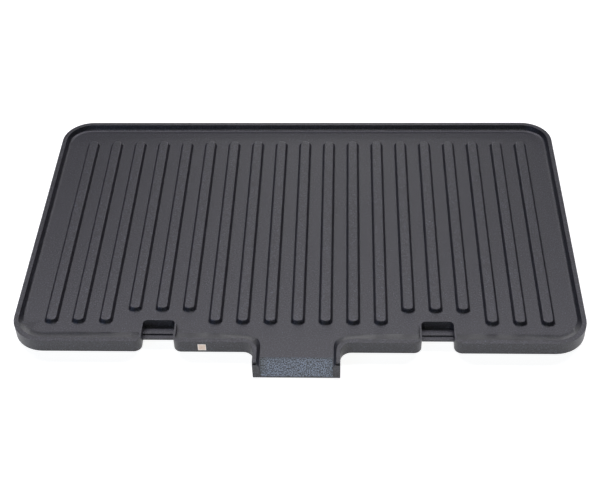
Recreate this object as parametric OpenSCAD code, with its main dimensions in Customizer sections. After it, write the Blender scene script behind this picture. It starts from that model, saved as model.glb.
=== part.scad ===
// Removable heated grill plate of a panini press: a die-cast ribbed tray with a grease
// spout, two latch notches at the front, two lugs at the rear, and a tubular heating
// element pressed into a channel on its underside and ending in a plug-in connector.
//
// Millimetres. +X is right, +Y is the rear, +Z is up. The origin lies under the middle of
// the whole part's footprint, on the plane that the four rest pads stand on. The modules
// are drawn about the middle of the tray's own outline, and placed() shifts them.

/* [Tray] */
// Width of the tray, side to side
tray_w = 368; // [340:1:400]
// Depth of the tray, front skirt to rear skirt, without the spout
tray_d = 226; // [210:1:240]
// Height from the rest pads to the top of the rim
tray_h = 14; // [13:0.5:15]
// Outer radius of the four corners
corner_r = 21; // [16:1:26]
// Height of the skirt, from its lower edge to the top of the rim
skirt_h = 9.5; // [9:0.5:10]
// Width of the flat top of the rim
rim_w = 3; // [2.6:0.1:3.4]
// Depth of the cooking floor below the rim
floor_depth = 4; // [3.5:0.25:4.5]
// Thickness of the cooking floor
floor_t = 3; // [2.6:0.1:3.2]

/* [Ribs] */
// Number of grilling ribs
rib_count = 19; // [15:2:19]
// Distance from rib to rib
rib_pitch = 17.8; // [17.4:0.1:18.2]
// Width of a rib at its foot
rib_foot_w = 8.6; // [8:0.1:9]
// Width of a rib at its top
rib_top_w = 6.6; // [6:0.1:7]
// Height of a rib above the floor
rib_h = 3; // [2.5:0.25:3]

/* [Latch notches] */
// Distance of each notch's centre from the middle of the tray
notch_x = 89.2; // [86:0.1:92]
// Clear width of a notch
notch_w = 20.6; // [18:0.1:22]
// Depth of a notch, from the front skirt to its back wall
notch_d = 18.6; // [18:0.1:20]
// Width of the top of the lip that keeps grease out of a notch
lip_w = 1.3; // [1.1:0.1:1.6]

/* [Spout] */
// Width of the spout over its side walls
spout_w = 55; // [50:0.5:58]
// How far the spout reaches past the front skirt
spout_reach = 17.4; // [16:0.2:18]

/* [Heating element] */
// Diameter of the element's steel sheath
sheath_d = 6.5; // [6:0.1:6.5]
// Radius of the element's bends, on its centreline
bend_r = 14; // [12:1:16]

/* [Hidden] */

coating = [0.20, 0.20, 0.22];
steel = [0.62, 0.62, 0.60];
fine = 48;      // facets of round parts
arc_steps = 10; // straight pieces in a quarter-circle of an outline
skin = 0.05;    // clearance between pieces that are fixed to each other
over = 1;       // how far a cutter runs past the face that it opens
bite = 0.5;     // how far a piece of the casting runs into the face that it stands on

front = -tray_d / 2;
rear = tray_d / 2;
rim_z = tray_h;
skirt_z = rim_z - skirt_h;
floor_z = rim_z - floor_depth;
under_z = floor_z - floor_t;

// ---- inner walls: how far each one's foot lies inside its top edge ----
wall_run = 1.5;        // at the sides and the rear
front_run = 8.2;       // at the front, where the floor ramps up to the rim
front_slant = 0.5;     // the front wall leans back by this much towards the corners
spout_run = 1.8;       // at the spout's side walls
foot_corner_r = 16;    // radius of the floor's corners

// ---- ribs ----
rib_rear_end = rear - 20.5;    // where every rib ends at the rear
rib_front_end = front + 18.6;  // where a long rib ends at the front
short_rib_gap = 11;            // how much shorter the three ribs behind each notch are
short_first = 4;               // the first and last place, from the middle, of a short rib
short_last = 6;

// ---- notches ----
notch_back_r = 3;    // radius of a notch's two back corners
notch_mouth_r = 5;   // radius of its two corners at the skirt
ledge_z = rim_z - 5.6;   // top of the ledge that the press's latch hooks over
ledge_t = 2.4;
ledge_reach = 10;        // from the notch's back wall to the ledge's nose
nose_reach = 3.2;        // the lower step at the ledge's nose
nose_drop = 1;

// ---- spout ----
spout_tip = front - spout_reach;
spout_mouth_r = 7;       // radius where the skirt turns into the spout's walls
spout_wall_top = 2.5;    // thickness of a side wall at its top
chute_shelf = 0.4;       // how far the chute's sides lie inside the feet of the side walls
spout_brink = front - 9.1;  // where the floor starts to fall at 45 degrees
spout_lip_z = 1.6;       // the floor's height at the tip
spout_low_z = 0.3;
bead_step = [0.9, 2];    // how far the rim's bead stops short of the tip, and its height
spout_t = 1.6;           // thickness of the spout's lip
brink_offset = 1;        // how far the hollow under the spout ends behind the brink

// ---- underside ----
skirt_t = 2.2;
channel_wall = 2.2;
channel_low_z = 1.4;
groove_w = sheath_d + 2 * skin;
pad_r = 6;
pad_x = tray_w / 2 - 26;
pad_y = tray_d / 2 - 24;
web_t = 2;
web_low_z = skirt_z;
rear_web_gap = 50;       // from the element's outer run to the outer rear web
side_webs_y = [-30, 26];
lug_x = 118;
lug_w = 24;
lug_reach = 6;
lug_t = 3;

// ---- heating element ----
tube_r = sheath_d / 2;
tube_z = under_z - tube_r - skin;
sheath_wall = 0.5;
coil_r = 1.1;            // the coiled resistance wire's outer radius
lead_x = 12;             // each end of the element, from the middle
row_rear = 62;
row_front = -66;
row_mid = 8;
row_outer = 146;
row_inner = 48;
element_end_y = 84;
element_path = [
    [-lead_x, element_end_y], [-lead_x, row_rear], [-row_outer, row_rear], [-row_outer, row_front],
    [-row_inner, row_front], [-row_inner, row_mid], [row_inner, row_mid], [row_inner, row_front],
    [row_outer, row_front], [row_outer, row_rear], [lead_x, row_rear], [lead_x, element_end_y]
];

// ---- connector ----
bush_len = 6;
bush_r = 2.9;
pin_r = 1;
pin_len = 13;
body_w = 50;
body_corner_r = 3;
body_gap = 0.4;          // from a bush to the connector
body_front = element_end_y + bush_len + body_gap;
body_rear = rear - rim_w - 0.6;   // clear of the rear skirt
cover_low_z = 1.15;      // leaves room for the screw heads above the rest plane
cover_t = 0.6;
body_low_z = cover_low_z + cover_t + skin;
blade_w = 6.3;
blade_t = 0.8;
blade_out = 8;           // how far the blades stand out behind the rear skirt
blade_gap = 0.4;         // from the skirt's lower edge, and beside a blade and its slot
blade_z = skirt_z - blade_gap - blade_t;
tab_z = tube_z - pin_r - skin - blade_t;   // a contact blade's inner tab lies under its pin
slot_w = blade_w + blade_gap;
slot_top_z = tube_z + pin_r + 4 * skin;
screw_x = 20.5;
screw_y = (body_front + body_rear) / 2;
screw_r = 1.5;
screw_head_r = 2.8;
screw_head_t = 1;
screw_top_z = floor_z - floor_t / 2;
earth_y = body_front + 5;
tab_y = body_front + 1;  // where the blades start
boss_r = 3;
boss_low_z = blade_z + blade_t + skin;

// ---- sticker ----
sticker = [5.2, 0.12, 5.4];
sticker_x = -60.4;
sticker_low_z = rim_z - 7.8;

// Unit vector of v
function unit(v) = v / norm(v);

// The points of a corner at b, between a and c, rounded to radius r
function corner(a, b, c, r) =
    r == 0 ? [b] :
    let (u = unit(a - b), v = unit(c - b), half = acos(u * v) / 2,
         reach = r / tan(half), centre = b + unit(u + v) * r / sin(half),
         first = b + u * reach - centre, last = b + v * reach - centre,
         from = atan2(first[1], first[0]), raw = atan2(last[1], last[0]) - from,
         sweep = raw > 180 ? raw - 360 : raw < -180 ? raw + 360 : raw)
    [for (i = [0 : arc_steps]) let (t = from + sweep * i / arc_steps)
        centre + r * [cos(t), sin(t)]];

// A closed outline through [x, y, radius] corners
function outline(c) = let (n = len(c)) [
    for (i = [0 : n - 1]) each corner(
        [c[(i + n - 1) % n][0], c[(i + n - 1) % n][1]], [c[i][0], c[i][1]],
        [c[(i + 1) % n][0], c[(i + 1) % n][1]], c[i][2])
];

// The corners of the tray's plan, its sides and rear taken in by m, its front by f at the
// spout and f + g at the corners, the spout's sides by s; r rounds the four corners
function plan(m, f, g, s, tip_y, r) = let (
    x = tray_w / 2 - m, sx = spout_w / 2 - s,
    right = [
        [sx, tip_y, 0], [sx, front + f, spout_mouth_r + s],
        [x, front + f + g, r], [x, rear - m, r]
    ], n = len(right))
    concat(right, [for (i = [n - 1 : -1 : 0]) [-right[i][0], right[i][1], right[i][2]]]);

// The hollow above the floor, cut level between the floor, t = 0, and the rim, t = 1
function hollow_outline(t) = outline(plan(
    rim_w + (1 - t) * wall_run, rim_w + (1 - t) * front_run, front_slant,
    spout_wall_top + (1 - t) * spout_run, spout_tip - over,
    corner_r - rim_w - (1 - t) * (corner_r - rim_w - foot_corner_r)));

// A solid between two outlines that have as many points and are the same left and right,
// so that each end is a row of strips across from side to side
module loft(low, low_z, high, high_z) {
    n = len(low);
    polyhedron(
        points = concat([for (p = low) [p[0], p[1], low_z]], [for (p = high) [p[0], p[1], high_z]]),
        faces = concat(
            [for (i = [0 : n / 2 - 2]) let (a = i, b = i + 1, c = n - 2 - i, d = n - 1 - i)
                each [[a, b, c], [a, c, d], [n + c, n + b, n + a], [n + d, n + c, n + a]]],
            [for (i = [0 : n - 1]) let (j = (i + 1) % n) each [[i, n + i, j], [j, n + i, n + j]]]));
}

// The right-hand notch's outline, with its two corners at the skirt rounded away
function notch_outline() = let (
    n_in = notch_x - notch_w / 2, n_out = notch_x + notch_w / 2, back = front + notch_d,
    r = notch_mouth_r)
    outline([
        [n_out, back, notch_back_r], [n_in, back, notch_back_r], [n_in, front, r],
        [n_in - r, front, 0], [n_in - r, front - over, 0],
        [n_out + r, front - over, 0], [n_out + r, front, 0], [n_out, front, r]
    ]);

// The same on both sides of the tray
module both_sides() {
    children();
    mirror([1, 0, 0]) children();
}

// A wide line along the element's path, bends rounded, as one closed outline
function path_side(side) = let (n = len(element_path)) [
    for (i = [0 : n - 1]) let (p = element_path[i])
        each (i == 0 || i == n - 1)
            ? let (q = element_path[i == 0 ? 1 : n - 2], d = unit(q - p) * (i == 0 ? 1 : -1))
                [p + side * [-d[1], d[0]]]
            : let (u = unit(p - element_path[i - 1]), v = unit(element_path[i + 1] - p),
                   turn = u[0] * v[1] - u[1] * v[0], nu = [-u[1], u[0]], nv = [-v[1], v[0]])
                corner(p - u * 2 * bend_r + side * nu, p + side * (nu + nv),
                       p + v * 2 * bend_r + side * nv, bend_r - turn * side)
];
function wide_path(w) = let (a = path_side(w / 2), b = path_side(-w / 2), n = len(b))
    concat(a, [for (i = [n - 1 : -1 : 0]) b[i]]);

// A plan outline as a slab from z = low to z = high
module slab(points, low, high) {
    translate([0, 0, low]) linear_extrude(high - low) polygon(points);
}

// A block from one corner to the opposite one
module block(from, to) {
    translate(from) cube(to - from);
}

// A profile drawn in Y and Z, as wide as 2 * half in X
module along_x(half, points) {
    translate([-half, 0, 0]) rotate([90, 0, 90]) linear_extrude(2 * half) polygon(points);
}

// A profile drawn in X and Z, from y = from to y = to
module along_y(from, to, points) {
    translate([0, to, 0]) rotate([90, 0, 0]) linear_extrude(to - from) polygon(points);
}

// A round bar of radius r along the element's path: straight pieces and quarter bends
module bent_bar(r) {
    n = len(element_path);
    for (i = [0 : n - 2]) {
        p = element_path[i];
        q = element_path[i + 1];
        u = unit(q - p);
        a = p + u * (i == 0 ? 0 : bend_r);
        b = q - u * (i == n - 2 ? 0 : bend_r);
        translate([a[0], a[1], tube_z]) rotate([0, 90, atan2(u[1], u[0])])
            cylinder(h = norm(b - a), r = r, $fn = fine);
    }
    for (i = [1 : n - 2]) {
        p = element_path[i];
        u = unit(p - element_path[i - 1]);
        v = unit(element_path[i + 1] - p);
        turn = u[0] * v[1] - u[1] * v[0];
        centre = p - u * bend_r + v * bend_r;
        start = turn > 0 ? atan2(-v[1], -v[0]) : atan2(u[1], u[0]);
        translate([centre[0], centre[1], tube_z]) rotate([0, 0, start])
            rotate_extrude(angle = 90, $fn = fine) translate([bend_r, 0]) circle(r, $fn = fine);
    }
}

// One grilling rib: a trapezium with drafted round ends
module rib(x, from, to) {
    low = floor_z - bite;
    slope = (rib_foot_w - rib_top_w) / 2 / rib_h;
    foot = rib_foot_w / 2 + bite * slope;
    top = rib_top_w / 2;
    translate([x, 0, 0]) {
        along_y(from + foot, to - foot,
            [[-foot, low], [foot, low], [top, floor_z + rib_h], [-top, floor_z + rib_h]]);
        for (y = [from + foot, to - foot]) translate([0, y, low])
            cylinder(h = rib_h + bite, r1 = foot, r2 = top, $fn = fine);
    }
}

// What is hollowed out of the spout: the falling chute above and the space under it
module spout_chute() {
    along_x(spout_w / 2 - spout_wall_top - spout_run - chute_shelf, [
        [spout_brink, floor_z + chute_shelf], [spout_tip - over, floor_z + chute_shelf],
        [spout_tip - over, spout_lip_z], [spout_tip, spout_lip_z], [spout_brink, floor_z]
    ]);
}
module spout_hollow() {
    along_x(spout_w / 2 - spout_wall_top, [
        [front + rim_w + over, spout_low_z - over], [front + rim_w + over, under_z],
        [spout_brink + brink_offset, under_z], [spout_tip + spout_t, spout_low_z],
        [spout_tip + spout_t, spout_low_z - over]
    ]);
}

// What is cut away for a notch: all but the ledge that the press's latch hooks over
module notch_cut() {
    back = front + notch_d;
    nose = back - ledge_reach;
    difference() {
        slab(notch_outline(), skirt_z - over, rim_z + over);
        translate([notch_x, 0, 0]) along_x(notch_w, [
            [back + over, ledge_z - ledge_t], [nose, ledge_z - ledge_t], [nose, ledge_z - nose_drop],
            [nose + nose_reach, ledge_z - nose_drop], [nose + nose_reach, ledge_z], [back + over, ledge_z]
        ]);
    }
}

// The wall round a notch, from the skirt's lower edge to the rim, before the notch is cut
module notch_wall() {
    x = [notch_x - notch_w / 2 - lip_w, notch_x + notch_w / 2 + lip_w];
    y = [front + lip_w, front + notch_d + lip_w];
    r = notch_back_r + lip_w;
    slab(outline([[x[0], y[0], 0], [x[1], y[0], 0], [x[1], y[1], r], [x[0], y[1], r]]), skirt_z, rim_z);
}

// Tray, ribs, ledges, spout, lugs, element channel, webs and pads: one die casting
module plate_casting() {
    color(coating) difference() {
        union() {
            difference() {
                slab(outline(plan(0, 0, 0, 0, spout_tip, corner_r)), skirt_z, rim_z);
                loft(hollow_outline(0), floor_z, hollow_outline(1 + over / floor_depth), rim_z + over);
                slab(outline(plan(skirt_t, skirt_t, 0, spout_wall_top, spout_brink, corner_r - skirt_t)),
                     skirt_z - over, under_z);
            }
            both_sides() notch_wall();
            block([-spout_w / 2, spout_tip, spout_low_z], [spout_w / 2, front + rim_w / 2, skirt_z + 1]);
            for (i = [-(rib_count - 1) / 2 : (rib_count - 1) / 2])
                rib(i * rib_pitch,
                    rib_front_end + (abs(i) >= short_first && abs(i) <= short_last ? short_rib_gap : 0),
                    rib_rear_end);
            for (side = [-1, 1]) {
                block([side * lug_x - lug_w / 2, rear - rim_w, skirt_z],
                      [side * lug_x + lug_w / 2, rear + lug_reach, skirt_z + lug_t]);
                for (end = [-1, 1]) translate([side * pad_x, end * pad_y, 0])
                    cylinder(h = under_z + bite, r = pad_r, $fn = fine);
                boss(side * screw_x, screw_y);
            }
            boss(0, earth_y);
            slab(wide_path(groove_w + 2 * channel_wall), channel_low_z, under_z + bite);
            underside_webs();
        }
        slab(wide_path(groove_w), channel_low_z - over, under_z);
        for (at = [[-screw_x, screw_y], [screw_x, screw_y], [0, earth_y]])
            translate([at[0], at[1], boss_low_z - over])
                cylinder(h = screw_top_z + skin - boss_low_z + over, r = screw_r + skin, $fn = fine);
        spout_chute();
        spout_hollow();
        both_sides() notch_cut();
        both_sides() block(
            [spout_w / 2 - spout_wall_top - spout_run, spout_tip - over, rim_z - bead_step[1]],
            [spout_w / 2 + over, spout_tip + bead_step[0], rim_z + over]);
    }
}

// A screw boss under the floor
module boss(x, y) {
    translate([x, y, boss_low_z]) cylinder(h = under_z + bite - boss_low_z, r = boss_r, $fn = fine);
}

// Stiffening webs between the skirt and the element's channel
module underside_webs() {
    gap = groove_w / 2 + channel_wall / 2;
    middle = (row_inner + row_outer) / 2;
    both_sides() {
        for (x = [row_outer - rear_web_gap, row_inner]) block(
            [x - web_t / 2, row_rear + gap, web_low_z],
            [x + web_t / 2, rear - rim_w / 2, under_z + bite]);
        block([middle - web_t / 2, row_front + gap, web_low_z],
              [middle + web_t / 2, row_rear - gap, under_z + bite]);
        for (y = side_webs_y) block(
            [row_outer + gap, y - web_t / 2, web_low_z],
            [tray_w / 2 - rim_w / 2, y + web_t / 2, under_z + bite]);
    }
}

// The element: a thin steel sheath, packed magnesia powder and the coiled wire in its middle
module element_sheath() {
    color(steel) difference() {
        bent_bar(tube_r);
        bent_bar(tube_r - sheath_wall);
    }
}
module element_powder() {
    color("white") difference() {
        bent_bar(tube_r - sheath_wall);
        bent_bar(coil_r);
    }
}
module resistance_coil() {
    color("silver") bent_bar(coil_r);
}

// A steel pin that brings the current out of the sheath's end, and the bush that seals it
module cold_pin(side) {
    color("silver") translate([side * lead_x, element_end_y, tube_z]) rotate([-90, 0, 0])
        cylinder(h = pin_len, r = pin_r, $fn = fine);
}
module end_bush(side) {
    color("ivory") translate([side * lead_x, element_end_y, tube_z]) rotate([-90, 0, 0])
        difference() {
            cylinder(h = bush_len, r = bush_r, $fn = fine);
            translate([0, 0, -over]) cylinder(h = bush_len + 2 * over, r = pin_r, $fn = fine);
        }
}

// The connector's plan outline
function connector_plan() = let (x = body_w / 2, r = body_corner_r)
    outline([[x, body_front, r], [x, body_rear, r], [-x, body_rear, r], [-x, body_front, r]]);

// The steatite block that holds the blades, open below until the cover closes it
module connector_body() {
    color("ivory") difference() {
        slab(connector_plan(), body_low_z, under_z - skin);
        for (x = [-lead_x, 0, lead_x])
            block([x - slot_w / 2, body_front - over, body_low_z - over],
                  [x + slot_w / 2, body_rear + over, slot_top_z]);
        for (at = [[-screw_x, screw_y], [screw_x, screw_y], [0, earth_y]]) {
            translate([at[0], at[1], boss_low_z - skin])
                cylinder(h = under_z, r = boss_r + 2 * skin, $fn = fine);
            translate([at[0], at[1], body_low_z - over])
                cylinder(h = under_z, r = screw_r + 2 * skin, $fn = fine);
        }
    }
}
module connector_cover() {
    color(steel) difference() {
        slab(connector_plan(), cover_low_z, cover_low_z + cover_t);
        for (side = [-1, 1]) translate([side * screw_x, screw_y, cover_low_z - over])
            cylinder(h = cover_t + 2 * over, r = screw_r + 2 * skin, $fn = fine);
    }
}

// A blade's outer end, its corners cut back so that it enters its socket easily
module blade_end(x, from) {
    tip = rear + blade_out;
    slab([
        [x - blade_w / 2, from], [x + blade_w / 2, from], [x + blade_w / 2, tip - blade_w / 4],
        [x + blade_w / 4, tip], [x - blade_w / 4, tip], [x - blade_w / 2, tip - blade_w / 4]
    ], blade_z, blade_z + blade_t);
}

// A live blade: its inner tab steps down to lie under the cold pin that is welded to it
module contact_blade(side) {
    pin_end = element_end_y + pin_len;
    rise = blade_z - tab_z;
    color("silver") union() {
        blade_end(side * lead_x, pin_end + rise);
        translate([side * lead_x, 0, 0]) along_x(blade_w / 2, [
            [tab_y, tab_z], [pin_end + blade_t, tab_z], [pin_end + blade_t + rise, blade_z],
            [pin_end + blade_t + rise, blade_z + blade_t], [pin_end + rise, blade_z + blade_t],
            [pin_end, tab_z + blade_t], [tab_y, tab_z + blade_t]
        ]);
    }
}

// The earth blade is screwed to the casting
module earth_blade() {
    color("silver") difference() {
        blade_end(0, tab_y);
        translate([0, earth_y, blade_z - over])
            cylinder(h = blade_t + 2 * over, r = screw_r + 2 * skin, $fn = fine);
    }
}

// A pan-head screw whose head ends at head_top
module pan_screw(x, y, head_top) {
    translate([x, y, head_top - screw_head_t]) cylinder(h = screw_head_t, r = screw_head_r, $fn = fine);
    translate([x, y, head_top - skin]) cylinder(h = screw_top_z - head_top + skin, r = screw_r, $fn = fine);
}
module earth_screw() {
    color(steel) pan_screw(0, earth_y, blade_z - skin);
}
module connector_screws() {
    color(steel) for (side = [-1, 1]) pan_screw(side * screw_x, screw_y, cover_low_z - skin);
}

// A blank paper sticker on the front skirt
module inspection_sticker() {
    color("mistyrose") block(
        [sticker_x - sticker[0] / 2, front - sticker[1], sticker_low_z],
        [sticker_x + sticker[0] / 2, front, sticker_low_z + sticker[2]]);
}

// Moves the tray so that the origin is midway between the spout's tip and the blades' ends
module placed() {
    translate([0, (spout_reach - blade_out) / 2, 0]) children();
}

placed() plate_casting();
placed() element_sheath();
placed() element_powder();
placed() resistance_coil();
placed() cold_pin(-1);  // cold_pin_left
placed() cold_pin(1);  // cold_pin_right
placed() end_bush(-1);  // end_bush_left
placed() end_bush(1);  // end_bush_right
placed() connector_body();
placed() connector_cover();
placed() contact_blade(-1);  // contact_blade_left
placed() contact_blade(1);  // contact_blade_right
placed() earth_blade();
placed() earth_screw();
placed() connector_screws();
placed() inspection_sticker();
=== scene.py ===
import math

import bpy
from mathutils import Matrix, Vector


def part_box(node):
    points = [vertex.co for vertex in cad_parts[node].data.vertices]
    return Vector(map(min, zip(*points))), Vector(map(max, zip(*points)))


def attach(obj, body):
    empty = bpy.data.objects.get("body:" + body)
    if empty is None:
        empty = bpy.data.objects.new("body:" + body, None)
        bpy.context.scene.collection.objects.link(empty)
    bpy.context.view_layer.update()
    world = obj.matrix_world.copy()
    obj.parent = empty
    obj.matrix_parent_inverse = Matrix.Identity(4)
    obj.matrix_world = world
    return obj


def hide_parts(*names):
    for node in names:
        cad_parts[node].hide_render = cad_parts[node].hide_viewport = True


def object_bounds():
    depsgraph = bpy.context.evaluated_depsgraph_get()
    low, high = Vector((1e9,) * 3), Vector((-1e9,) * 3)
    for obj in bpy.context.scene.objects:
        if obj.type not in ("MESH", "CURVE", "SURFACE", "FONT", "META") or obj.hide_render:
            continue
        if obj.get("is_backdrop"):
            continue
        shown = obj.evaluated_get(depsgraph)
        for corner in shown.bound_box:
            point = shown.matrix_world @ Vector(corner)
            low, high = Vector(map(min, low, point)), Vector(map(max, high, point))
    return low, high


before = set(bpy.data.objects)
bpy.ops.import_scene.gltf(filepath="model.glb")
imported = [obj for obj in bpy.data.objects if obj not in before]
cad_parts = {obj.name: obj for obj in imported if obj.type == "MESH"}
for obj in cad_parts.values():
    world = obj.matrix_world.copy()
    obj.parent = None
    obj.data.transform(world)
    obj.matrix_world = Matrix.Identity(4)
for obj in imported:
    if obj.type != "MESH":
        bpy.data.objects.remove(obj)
cad_low, cad_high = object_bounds()

MM = 0.001


# ---- Camera -------------------------------------------------------------------------
# A short telephoto lens looks down at the plate from the front, a little to the right
# of its middle, so that the spout points at the viewer.
lens_mm = 72.4
camera_place = (0.0304, -0.6189, 0.5791)
camera_turn = (46.506, 1.337, 1.702)

bpy.ops.object.camera_add(location=camera_place, rotation=[math.radians(a) for a in camera_turn])
camera = bpy.context.object
camera.name = "camera"
camera.data.lens = lens_mm
camera.data.sensor_width = 36
bpy.context.scene.camera = camera


# ---- Floor and light ----------------------------------------------------------------
# The plate stands on a white table that glows a little. Long soft boxes hang behind and
# above it, so that the level faces carry a sheen while the faces that look at the viewer
# stay dark. Two small boxes near the viewer light the chute and the skirt.
def plain_material(name, colour, roughness, metallic=0.0):
    """A material with its constant values set on the shader."""
    material = bpy.data.materials.new(name)
    material.use_nodes = True
    shader = material.node_tree.nodes["Principled BSDF"]
    shader.inputs["Base Color"].default_value = (*colour, 1)
    shader.inputs["Roughness"].default_value = roughness
    shader.inputs["Metallic"].default_value = metallic
    return material


def soft_box(name, place, aim, size, power, colour=(1, 1, 1)):
    """A rectangular area light at place that faces the point aim."""
    bpy.ops.object.light_add(type="AREA", location=place)
    lamp = bpy.context.object
    lamp.name = name
    lamp.rotation_euler = (Vector(aim) - Vector(place)).to_track_quat("-Z", "Y").to_euler()
    lamp.data.shape = "RECTANGLE"
    lamp.data.size, lamp.data.size_y = size
    lamp.data.energy = power
    lamp.data.color = colour


bpy.ops.object.select_all(action="DESELECT")
bpy.ops.mesh.primitive_plane_add(size=8, location=(0, 0, cad_low.z - 0.0002))
table = bpy.context.object
table.name = "table"
white = plain_material("white_table", (0.5, 0.5, 0.5), 0.8)
white.node_tree.nodes["Principled BSDF"].inputs["Emission Color"].default_value = (1, 1, 1, 1)
white.node_tree.nodes["Principled BSDF"].inputs["Emission Strength"].default_value = 0.85
table.data.materials.append(white)
table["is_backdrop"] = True

soft_box("overhead_box", (0.0, 0.749, 1.854), (0, 0, 0), (3.0, 0.35), 34, (0.90, 0.87, 1.0))
soft_box("rear_box", (0.0, 1.118, 1.658), (0, 0, 0), (3.0, 0.35), 8.8)
soft_box("rear_middle_box", (0.0, 1.618, 1.176), (0, 0, 0), (0.7, 0.35), 1.5)
soft_box("rear_low_box", (0.0, 1.923, 0.551), (0, 0, 0), (0.7, 0.35), 3.5)
soft_box("horizon_panel", (0.0, 1.989, 0.209), (0, 0, 0), (3.0, 0.35), 5.7)
soft_box("viewer_box", (0.05, -1.35, 1.38), (0, 0, 0), (0.4, 0.4), 7.7, (0.98, 1.0, 0.90))
soft_box("viewer_fill", (-0.75, -1.0, 0.5), (0, 0, 0), (0.6, 0.3), 2.9, (0.47, 0.62, 1.0))

world = bpy.data.worlds.new("studio")
world.use_nodes = True
world.node_tree.nodes["Background"].inputs["Color"].default_value = (1, 1, 1, 1)
world.node_tree.nodes["Background"].inputs["Strength"].default_value = 0.02
bpy.context.scene.world = world
bpy.context.scene.view_settings.view_transform = "Standard"


# ---- Tray casting -------------------------------------------------------------------
# The tray is one die casting of aluminium. Its edges come out of the die with small
# fillets, and a charcoal non-stick coating with fine mineral flecks covers it all over.
# On the chute's up-facing faces the flecks crowd in a pale blue, which is painted glint.
def copy_of_node(name, node, merge=0.00002, flat_angle=1.5):
    """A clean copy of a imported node: doubles merged, and flat faces joined."""
    bpy.ops.object.select_all(action="DESELECT")
    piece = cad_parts[node].copy()
    piece.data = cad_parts[node].data.copy()
    for key in list(piece.keys()):
        del piece[key]
    bpy.context.collection.objects.link(piece)
    piece.name = name
    piece.data.name = name
    piece.data.materials.clear()
    bpy.context.view_layer.objects.active = piece
    piece.select_set(True)
    bpy.ops.object.mode_set(mode="EDIT")
    bpy.ops.mesh.select_all(action="SELECT")
    bpy.ops.mesh.remove_doubles(threshold=merge)
    bpy.ops.mesh.dissolve_limited(angle_limit=math.radians(flat_angle))
    bpy.ops.object.mode_set(mode="OBJECT")
    return piece


def round_edges(piece, chosen, width, segments=3):
    """Rounds the sharp edges whose two ends both pass the test chosen(a, b)."""
    bpy.ops.object.select_all(action="DESELECT")
    bpy.context.view_layer.objects.active = piece
    piece.select_set(True)
    bpy.ops.object.mode_set(mode="EDIT")
    bpy.ops.mesh.select_mode(type="EDGE")
    bpy.ops.mesh.select_all(action="DESELECT")
    bpy.ops.mesh.edges_select_sharp(sharpness=math.radians(14))
    bpy.ops.object.mode_set(mode="OBJECT")
    corners = piece.data.vertices
    for edge in piece.data.edges:
        edge.select = edge.select and chosen(*(corners[i].co for i in edge.vertices))
    bpy.ops.object.mode_set(mode="EDIT")
    bpy.ops.mesh.bevel(offset=width, segments=segments, affect="EDGES", clamp_overlap=True)
    bpy.ops.object.mode_set(mode="OBJECT")


RIM_Z = cad_high.z
FLOOR_Z = RIM_Z - 4 * MM
RIB_Z = FLOOR_Z + 3 * MM
BACK_Y = cad_high.y - 8 * MM      # the rear skirt
FRONT_Y = cad_low.y + 17.4 * MM   # the front skirt
WALL_FOOT = 4.5 * MM              # from a side or rear skirt to the foot of its inner wall
CORNER_Y = FRONT_Y + 27 * MM      # where the side walls' straight part ends at the front
HAIR = 0.03 * MM


def at(height, point):
    """True if a point lies at this height."""
    return abs(point.z - height) < HAIR


def over_ribs(point):
    """True inside the field of the ribs, where no wall stands."""
    return abs(point.x) < 167 * MM and FRONT_Y + 18 * MM < point.y < BACK_Y - 18 * MM


def in_wall_foot(point):
    """True along the foot of the side and rear walls, up to the front corners."""
    return at(FLOOR_Z, point) and not over_ribs(point) and (
        point.y > BACK_Y - 12 * MM or abs(point.x) > 160 * MM and point.y > CORNER_Y)


def select_in(piece, items, chosen):
    """Selects only the faces, or edges, of piece whose points all pass the test."""
    bpy.ops.object.select_all(action="DESELECT")
    bpy.context.view_layer.objects.active = piece
    piece.select_set(True)
    bpy.ops.object.mode_set(mode="EDIT")
    bpy.ops.mesh.select_mode(type="FACE" if items == "polygons" else "EDGE")
    bpy.ops.mesh.select_all(action="DESELECT")
    bpy.ops.object.mode_set(mode="OBJECT")
    for item in getattr(piece.data, items):
        item.select = all(chosen(piece.data.vertices[i].co) for i in item.vertices)
    bpy.ops.object.mode_set(mode="EDIT")


def sweep_down(steps, half_size, centre):
    """Extrudes the selected loop through (inset, height) steps; half_size is its size at inset 0."""
    inset, height = steps[0]
    for next_inset, next_height in steps[1:]:
        bpy.ops.mesh.extrude_region_move()
        grow = [(half - next_inset * MM) / (half - inset * MM) for half in half_size]
        bpy.ops.transform.resize(value=(*grow, 1), center_override=centre)
        bpy.ops.transform.translate(value=(0, 0, (next_height - height) * MM))
        inset, height = next_inset, next_height


def weigh_normals(piece):
    """Keeps large flat faces flat beside their fillets."""
    bpy.ops.object.select_all(action="DESELECT")
    bpy.context.view_layer.objects.active = piece
    piece.select_set(True)
    bpy.ops.object.shade_smooth_by_angle(angle=math.radians(22))
    weigh = piece.modifiers.new("flat_faces", "WEIGHTED_NORMAL")
    weigh.keep_sharp = True
    bpy.ops.object.modifier_apply(modifier=weigh.name)


# (inset, height) of each step, in millimetres, from the foot's line at the floor
WALL_STEPS = ((0, 0), (-0.45, 1.2), (-0.25, 0.75), (0.02, 0.42), (0.40, 0.18), (0.85, 0.05), (1.4, -0.01))
RIB_STEPS = ((1.75, 3.0), (1.38, 2.96), (1.08, 2.82), (0.87, 2.58), (0.76, 2.28), (0.22, 0.62),
             (0.15, 0.42), (0.00, 0.22), (-0.20, 0.08), (-0.45, 0.01), (-0.70, -0.01))
RIB_HALF_W = 4.3 * MM
RIB_PITCH = 17.8 * MM
RIB_REAR = BACK_Y - 20.5 * MM
RIB_FRONT = FRONT_Y + 18.6 * MM
SHORT_GAP = 11 * MM               # how much shorter the ribs behind the notches are


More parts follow.
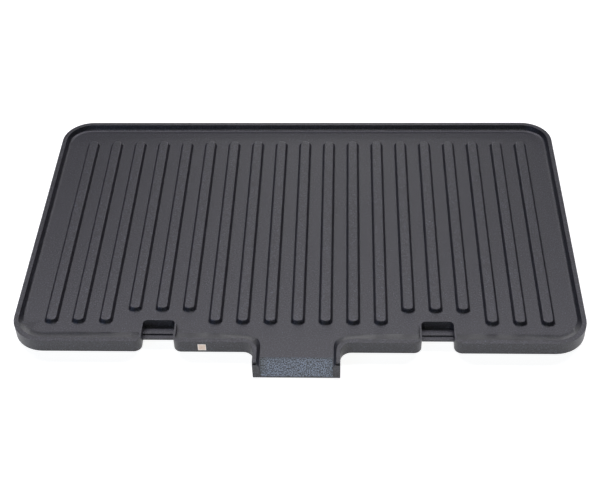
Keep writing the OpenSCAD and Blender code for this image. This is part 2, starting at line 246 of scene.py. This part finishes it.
def wall_fillet(piece):
    """A fillet that runs along the foot of the piece's side and rear walls."""
    select_in(piece, "edges", in_wall_foot)
    bpy.ops.mesh.duplicate()
    bpy.ops.mesh.separate(type="SELECTED")
    bpy.ops.object.mode_set(mode="OBJECT")
    fillet = [o for o in bpy.context.selected_objects if o != piece][0]
    select_in(fillet, "edges", lambda p: True)
    half_size = (cad_high.x - WALL_FOOT, BACK_Y - WALL_FOOT - CORNER_Y)
    sweep_down(WALL_STEPS, half_size, (0, CORNER_Y, FLOOR_Z))
    bpy.ops.object.mode_set(mode="OBJECT")
    return fillet


def rounded_rib(x, front_y):
    """One rib at x, from front_y to the rear, with rounded edges and a fillet at its foot."""
    half_size = (RIB_HALF_W, (RIB_REAR - front_y) / 2)
    centre = (0, front_y + half_size[1], RIB_Z)
    bpy.ops.object.select_all(action="DESELECT")
    bpy.ops.mesh.primitive_plane_add(size=2, location=centre)
    rib = bpy.context.object
    rib.scale = (*(half - RIB_STEPS[0][0] * MM for half in half_size), 1)
    bpy.ops.object.transform_apply(location=True, rotation=True, scale=True)
    bpy.ops.object.mode_set(mode="EDIT")
    bpy.ops.mesh.select_all(action="SELECT")
    bpy.ops.mesh.bevel(offset=2.2 * MM, segments=2, affect="VERTICES")
    bpy.ops.mesh.select_all(action="SELECT")
    bpy.ops.mesh.select_mode(type="EDGE")
    sweep_down(RIB_STEPS, half_size, centre)
    bpy.ops.mesh.select_all(action="SELECT")
    bpy.ops.mesh.normals_make_consistent(inside=False)
    bpy.ops.object.mode_set(mode="OBJECT")
    rib.location.x = x
    return rib


tray = copy_of_node("tray_casting", "plate_casting")
select_in(tray, "polygons", lambda p: over_ribs(p) and FLOOR_Z - HAIR < p.z < RIB_Z + HAIR)
bpy.ops.object.mode_set(mode="OBJECT")
for face in tray.data.polygons:
    face.select = face.select and max(tray.data.vertices[i].co.z for i in face.vertices) > FLOOR_Z + HAIR
bpy.ops.object.mode_set(mode="EDIT")
bpy.ops.mesh.delete(type="FACE")
bpy.ops.object.mode_set(mode="OBJECT")
round_edges(tray, lambda a, b: at(RIM_Z, a) and at(RIM_Z, b), 0.4 * MM)

additions = [wall_fillet(tray)]
for place in range(-9, 10):
    short = 4 <= abs(place) <= 6
    additions.append(rounded_rib(place * RIB_PITCH, RIB_FRONT + (SHORT_GAP if short else 0)))
bpy.ops.object.select_all(action="DESELECT")
for piece in (*additions, tray):
    piece.select_set(True)
bpy.context.view_layer.objects.active = tray
bpy.ops.object.join()
weigh_normals(tray)


def node_of(material, kind, **inputs):
    """A new shader node with its constant inputs set; an underscore stands for a space."""
    node = material.node_tree.nodes.new(kind)
    for name, value in inputs.items():
        node.inputs[name.replace("_", " ")].default_value = value
    return node


def ramp_of(material, source, *stops):
    """A colour ramp driven by a socket, through (position, colour) stops."""
    ramp = material.node_tree.nodes.new("ShaderNodeValToRGB")
    while len(ramp.color_ramp.elements) < len(stops):
        ramp.color_ramp.elements.new(0.5)
    for element, (position, colour) in zip(ramp.color_ramp.elements, stops):
        element.position = position
        element.color = (*colour, 1)
    material.node_tree.links.new(source, ramp.inputs["Fac"])
    return ramp.outputs["Color"]


def coating_material():
    """Charcoal non-stick coating: a pebbled skin with mica flecks; on the chute's up-facing faces they crowd in
    pale blue, a painted glint of the light near the viewer.
    """
    material = plain_material("non_stick_coating", (0.02, 0.02, 0.024), 0.4)
    links = material.node_tree.links
    shader = material.node_tree.nodes["Principled BSDF"]
    place = material.node_tree.nodes.new("ShaderNodeTexCoord").outputs["Object"]

    grain = node_of(material, "ShaderNodeTexNoise", Scale=1100, Detail=3)
    links.new(place, grain.inputs["Vector"])
    body = ramp_of(material, grain.outputs["Fac"],
                   (0.34, (0.008, 0.008, 0.010)), (0.52, (0.018, 0.0175, 0.022)), (0.68, (0.050, 0.050, 0.062)))

    flecks = node_of(material, "ShaderNodeTexNoise", Scale=1500, Detail=1)
    links.new(place, flecks.inputs["Vector"])
    few = ramp_of(material, flecks.outputs["Fac"], (0.66, (0, 0, 0)), (0.80, (0.45, 0.45, 0.45)))
    # Crowded flecks, used only on the chute, paint its glint.
    glinting_flecks = ramp_of(material, flecks.outputs["Fac"], (0.42, (0, 0, 0)), (0.60, (1, 1, 1)))

    split = material.node_tree.nodes.new("ShaderNodeSeparateXYZ")
    links.new(place, split.inputs["Vector"])
    fallen = node_of(material, "ShaderNodeMapRange")
    fallen.inputs["From Min"].default_value = FRONT_Y - 8.6 * MM
    fallen.inputs["From Max"].default_value = FRONT_Y - 10.2 * MM
    links.new(split.outputs["Y"], fallen.inputs["Value"])
    across = material.node_tree.nodes.new("ShaderNodeMath")
    across.operation = "ABSOLUTE"
    links.new(split.outputs["X"], across.inputs[0])
    within = node_of(material, "ShaderNodeMapRange")
    within.inputs["From Min"].default_value = 23.2 * MM
    within.inputs["From Max"].default_value = 22.4 * MM
    links.new(across.outputs["Value"], within.inputs["Value"])
    facing = material.node_tree.nodes.new("ShaderNodeSeparateXYZ")
    links.new(material.node_tree.nodes.new("ShaderNodeTexCoord").outputs["Normal"], facing.inputs["Vector"])
    upward = node_of(material, "ShaderNodeMapRange")
    upward.inputs["From Min"].default_value = 0.3
    upward.inputs["From Max"].default_value = 0.5
    links.new(facing.outputs["Z"], upward.inputs["Value"])
    # Mask of the painted glint: the chute, and only its faces that look up toward the light near the viewer.
    chute_glint_mask = fallen.outputs["Result"]
    for share in (within, upward):
        product = material.node_tree.nodes.new("ShaderNodeMath")
        product.operation = "MULTIPLY"
        links.new(chute_glint_mask, product.inputs[0])
        links.new(share.outputs["Result"], product.inputs[1])
        chute_glint_mask = product.outputs["Value"]

    cover = material.node_tree.nodes.new("ShaderNodeMix")
    cover.data_type = "RGBA"
    links.new(chute_glint_mask, cover.inputs["Factor"])
    links.new(few, cover.inputs["A"])
    links.new(glinting_flecks, cover.inputs["B"])
    fleck_and_glint_colour = material.node_tree.nodes.new("ShaderNodeMix")
    fleck_and_glint_colour.data_type = "RGBA"
    links.new(cover.outputs["Result"], fleck_and_glint_colour.inputs["Factor"])
    links.new(body, fleck_and_glint_colour.inputs["A"])
    # Painted glint colour: a pale blue that stands in for the sheen of the light near the viewer. The scattered
    # flecks elsewhere take it too.
    fleck_and_glint_colour.inputs["B"].default_value = (0.23, 0.275, 0.36, 1)
    links.new(fleck_and_glint_colour.outputs["Result"], shader.inputs["Base Color"])

    skin = node_of(material, "ShaderNodeTexNoise", Scale=750, Detail=4)
    links.new(place, skin.inputs["Vector"])
    pebble = node_of(material, "ShaderNodeBump", Strength=0.5, Distance=0.00012)
    links.new(skin.outputs["Fac"], pebble.inputs["Height"])
    links.new(pebble.outputs["Normal"], shader.inputs["Normal"])
    return material


tray.data.materials.append(coating_material())
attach(tray, "root")
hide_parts("plate_casting")


# ---- Heating element ----------------------------------------------------------------
# The sheath is one bent tube of heat-resisting steel, pressed into the casting's channel.
# Heat has tinted it in uneven straw and blue-grey patches.
def grained_material(name, dark, light, scale, roughness, metallic=0.0, stretch=(1, 1, 1), relief=0.00002):
    """A fine-grained finish between two colours, stretched along one axis if it is brushed or drawn."""
    material = plain_material(name, dark, roughness, metallic)
    links = material.node_tree.links
    shader = material.node_tree.nodes["Principled BSDF"]
    drawn = node_of(material, "ShaderNodeMapping", Scale=stretch)
    links.new(material.node_tree.nodes.new("ShaderNodeTexCoord").outputs["Object"], drawn.inputs["Vector"])
    grain = node_of(material, "ShaderNodeTexNoise", Scale=scale, Detail=4)
    links.new(drawn.outputs["Vector"], grain.inputs["Vector"])
    links.new(ramp_of(material, grain.outputs["Fac"], (0.35, dark), (0.65, light)), shader.inputs["Base Color"])
    uneven = node_of(material, "ShaderNodeMapRange")
    uneven.inputs["To Min"].default_value = roughness - 0.1
    uneven.inputs["To Max"].default_value = roughness + 0.1
    links.new(grain.outputs["Fac"], uneven.inputs["Value"])
    links.new(uneven.outputs["Result"], shader.inputs["Roughness"])
    relief_node = node_of(material, "ShaderNodeBump", Strength=0.5, Distance=relief)
    links.new(grain.outputs["Fac"], relief_node.inputs["Height"])
    links.new(relief_node.outputs["Normal"], shader.inputs["Normal"])
    return material


def finish_node(node, material):
    """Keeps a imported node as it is, in a better material."""
    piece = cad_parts[node]
    for place in piece.material_slots:
        place.material = material


finish_node("element_sheath", grained_material(
    "heat_tinted_steel", (0.10, 0.085, 0.075), (0.26, 0.24, 0.235), 60, 0.42, 1.0))


# ---- Powder and coil ----------------------------------------------------------------
# Packed white magnesia fills the sheath and holds the coiled resistance wire in its
# middle. Both are closed in, and show only where the sheath is cut open.
finish_node("element_powder", grained_material(
    "packed_magnesia", (0.62, 0.60, 0.56), (0.80, 0.79, 0.76), 2600, 0.85, relief=0.00006))
finish_node("resistance_coil", grained_material(
    "resistance_wire", (0.16, 0.15, 0.14), (0.42, 0.40, 0.38), 900, 0.38, 1.0))


# ---- Cold pins ----------------------------------------------------------------------
# Each end of the element carries its current out on a nickel-plated steel pin, drawn
# along its length and welded to its blade.
drawn_nickel = grained_material(
    "drawn_nickel", (0.44, 0.43, 0.40), (0.68, 0.66, 0.62), 1400, 0.30, 1.0, stretch=(1, 0.06, 1))
for node in ("cold_pin_left", "cold_pin_right"):
    finish_node(node, drawn_nickel)


# ---- End bushes ---------------------------------------------------------------------
# A pressed steatite bush seals each end of the sheath round its pin. Its outer edges are
# rounded in the press.
steatite = grained_material(
    "steatite", (0.58, 0.54, 0.45), (0.74, 0.71, 0.62), 420, 0.5, relief=0.00003)


def pressed_copy(name, node, material, width, segments=3):
    """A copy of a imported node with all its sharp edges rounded, which takes the node's place."""
    piece = copy_of_node(name, node)
    round_edges(piece, lambda a, b: True, width, segments)
    weigh_normals(piece)
    piece.data.materials.append(material)
    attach(piece, "root")
    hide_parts(node)
    return piece


for side in ("left", "right"):
    pressed_copy("pressed_bush_" + side, "end_bush_" + side, steatite, 0.3 * MM)


# ---- Connector body and cover -------------------------------------------------------
# The body is a pressed steatite block with a slot for each blade. A zinc-plated sheet
# cover closes it from below, stamped out with a slightly rolled edge.
zinc = grained_material(
    "zinc_plate", (0.40, 0.42, 0.44), (0.62, 0.64, 0.66), 240, 0.36, 1.0)
pressed_copy("steatite_block", "connector_body", steatite, 0.12 * MM, 2)
pressed_copy("stamped_cover", "connector_cover", zinc, 0.15 * MM)


# ---- Blades -------------------------------------------------------------------------
# Two live blades and the earth blade are stamped from nickel-plated strip. Stamping
# leaves their edges slightly rounded.
for name in ("contact_blade_left", "contact_blade_right", "earth_blade"):
    pressed_copy("stamped_" + name, name, drawn_nickel, 0.12 * MM)


# ---- Screws -------------------------------------------------------------------------
# One screw earths the casting through the middle blade and two hold the connector. Each
# is a zinc-plated pan head, pressed with a rounded rim and a cross recess.
HEAD_R = 2.8 * MM
HEAD_T = 1.0 * MM
SHANK_R = 1.5 * MM


def pan_head_screw(name, x, y, low_z, high_z):
    """A screw that points up, its head at the bottom."""
    bpy.ops.object.select_all(action="DESELECT")
    bpy.ops.mesh.primitive_cylinder_add(
        vertices=40, radius=SHANK_R, depth=high_z - low_z - HEAD_T / 2,
        location=(x, y, (high_z + low_z + HEAD_T / 2) / 2))
    shank = bpy.context.object
    bpy.ops.object.select_all(action="DESELECT")
    bpy.ops.mesh.primitive_cylinder_add(
        vertices=48, radius=HEAD_R, depth=HEAD_T, location=(x, y, low_z + HEAD_T / 2))
    head = bpy.context.object
    bpy.ops.object.transform_apply(location=True, rotation=True, scale=True)
    round_edges(head, lambda a, b: a.z < low_z + HAIR and b.z < low_z + HAIR, 0.5 * MM, 5)
    for size in ((3.2 * MM, 0.75 * MM), (0.75 * MM, 3.2 * MM)):
        bpy.ops.object.select_all(action="DESELECT")
        bpy.ops.mesh.primitive_cube_add(size=1, location=(x, y, low_z))
        cutter = bpy.context.object
        cutter.scale = (*size, 1.1 * MM)
        cut = head.modifiers.new("recess", "BOOLEAN")
        cut.object = cutter
        cut.operation = "DIFFERENCE"
        bpy.context.view_layer.objects.active = head
        bpy.ops.object.modifier_apply(modifier=cut.name)
        bpy.data.objects.remove(cutter)
    bpy.ops.object.select_all(action="DESELECT")
    shank.select_set(True)
    head.select_set(True)
    bpy.context.view_layer.objects.active = head
    bpy.ops.object.join()
    bpy.ops.object.transform_apply(location=True, rotation=True, scale=True)
    head.name = name
    return head


low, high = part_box("connector_screws")
row_y = (low.y + high.y) / 2
both = [pan_head_screw(name, x, row_y, low.z, high.z)
        for name, x in (("left_screw", low.x + HEAD_R), ("right_screw", high.x - HEAD_R))]
bpy.ops.object.select_all(action="DESELECT")
for screw in both:
    screw.select_set(True)
bpy.context.view_layer.objects.active = both[0]
bpy.ops.object.join()
both[0].name = "recessed_connector_screws"
low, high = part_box("earth_screw")
earth = pan_head_screw("recessed_earth_screw", 0, (low.y + high.y) / 2, low.z, high.z)
for piece, node in ((both[0], "connector_screws"), (earth, "earth_screw")):
    weigh_normals(piece)
    piece.data.materials.append(zinc)
    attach(piece, "root")
    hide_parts(node)


# ---- Inspection sticker -------------------------------------------------------------
# A small blank paper sticker on the front skirt. Its edges are paler, where the paper
# shows past its pinkish print.
def paper_material():
    """Printed paper whose print fades to bare paper along its four edges."""
    material = grained_material(
        "sticker_paper", (0.66, 0.52, 0.41), (0.80, 0.64, 0.51), 1300, 0.7, stretch=(1, 1, 0.4))
    links = material.node_tree.links
    low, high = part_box("inspection_sticker")
    centred = material.node_tree.nodes.new("ShaderNodeVectorMath")
    centred.operation = "SUBTRACT"
    centred.inputs[1].default_value = (low + high) / 2
    links.new(material.node_tree.nodes.new("ShaderNodeTexCoord").outputs["Object"], centred.inputs[0])
    parts = material.node_tree.nodes.new("ShaderNodeSeparateXYZ")
    links.new(centred.outputs["Vector"], parts.inputs["Vector"])
    farther = material.node_tree.nodes.new("ShaderNodeMath")
    farther.operation = "MAXIMUM"
    for socket, axis in enumerate(("X", "Z")):
        off_centre = material.node_tree.nodes.new("ShaderNodeMath")
        off_centre.operation = "ABSOLUTE"
        links.new(parts.outputs[axis], off_centre.inputs[0])
        links.new(off_centre.outputs["Value"], farther.inputs[socket])
    border = node_of(material, "ShaderNodeMapRange")
    border.inputs["From Min"].default_value = 1.9 * MM
    border.inputs["From Max"].default_value = 2.4 * MM
    links.new(farther.outputs["Value"], border.inputs["Value"])
    fade = material.node_tree.nodes.new("ShaderNodeMix")
    fade.data_type = "RGBA"
    shader = material.node_tree.nodes["Principled BSDF"]
    links.new(border.outputs["Result"], fade.inputs["Factor"])
    links.new(shader.inputs["Base Color"].links[0].from_socket, fade.inputs["A"])
    fade.inputs["B"].default_value = (0.92, 0.84, 0.76, 1)
    links.new(fade.outputs["Result"], shader.inputs["Base Color"])
    return material


pressed_copy("paper_sticker", "inspection_sticker", paper_material(), 0.03 * MM, 2)


# ---- Sizes --------------------------------------------------------------------------
low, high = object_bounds()
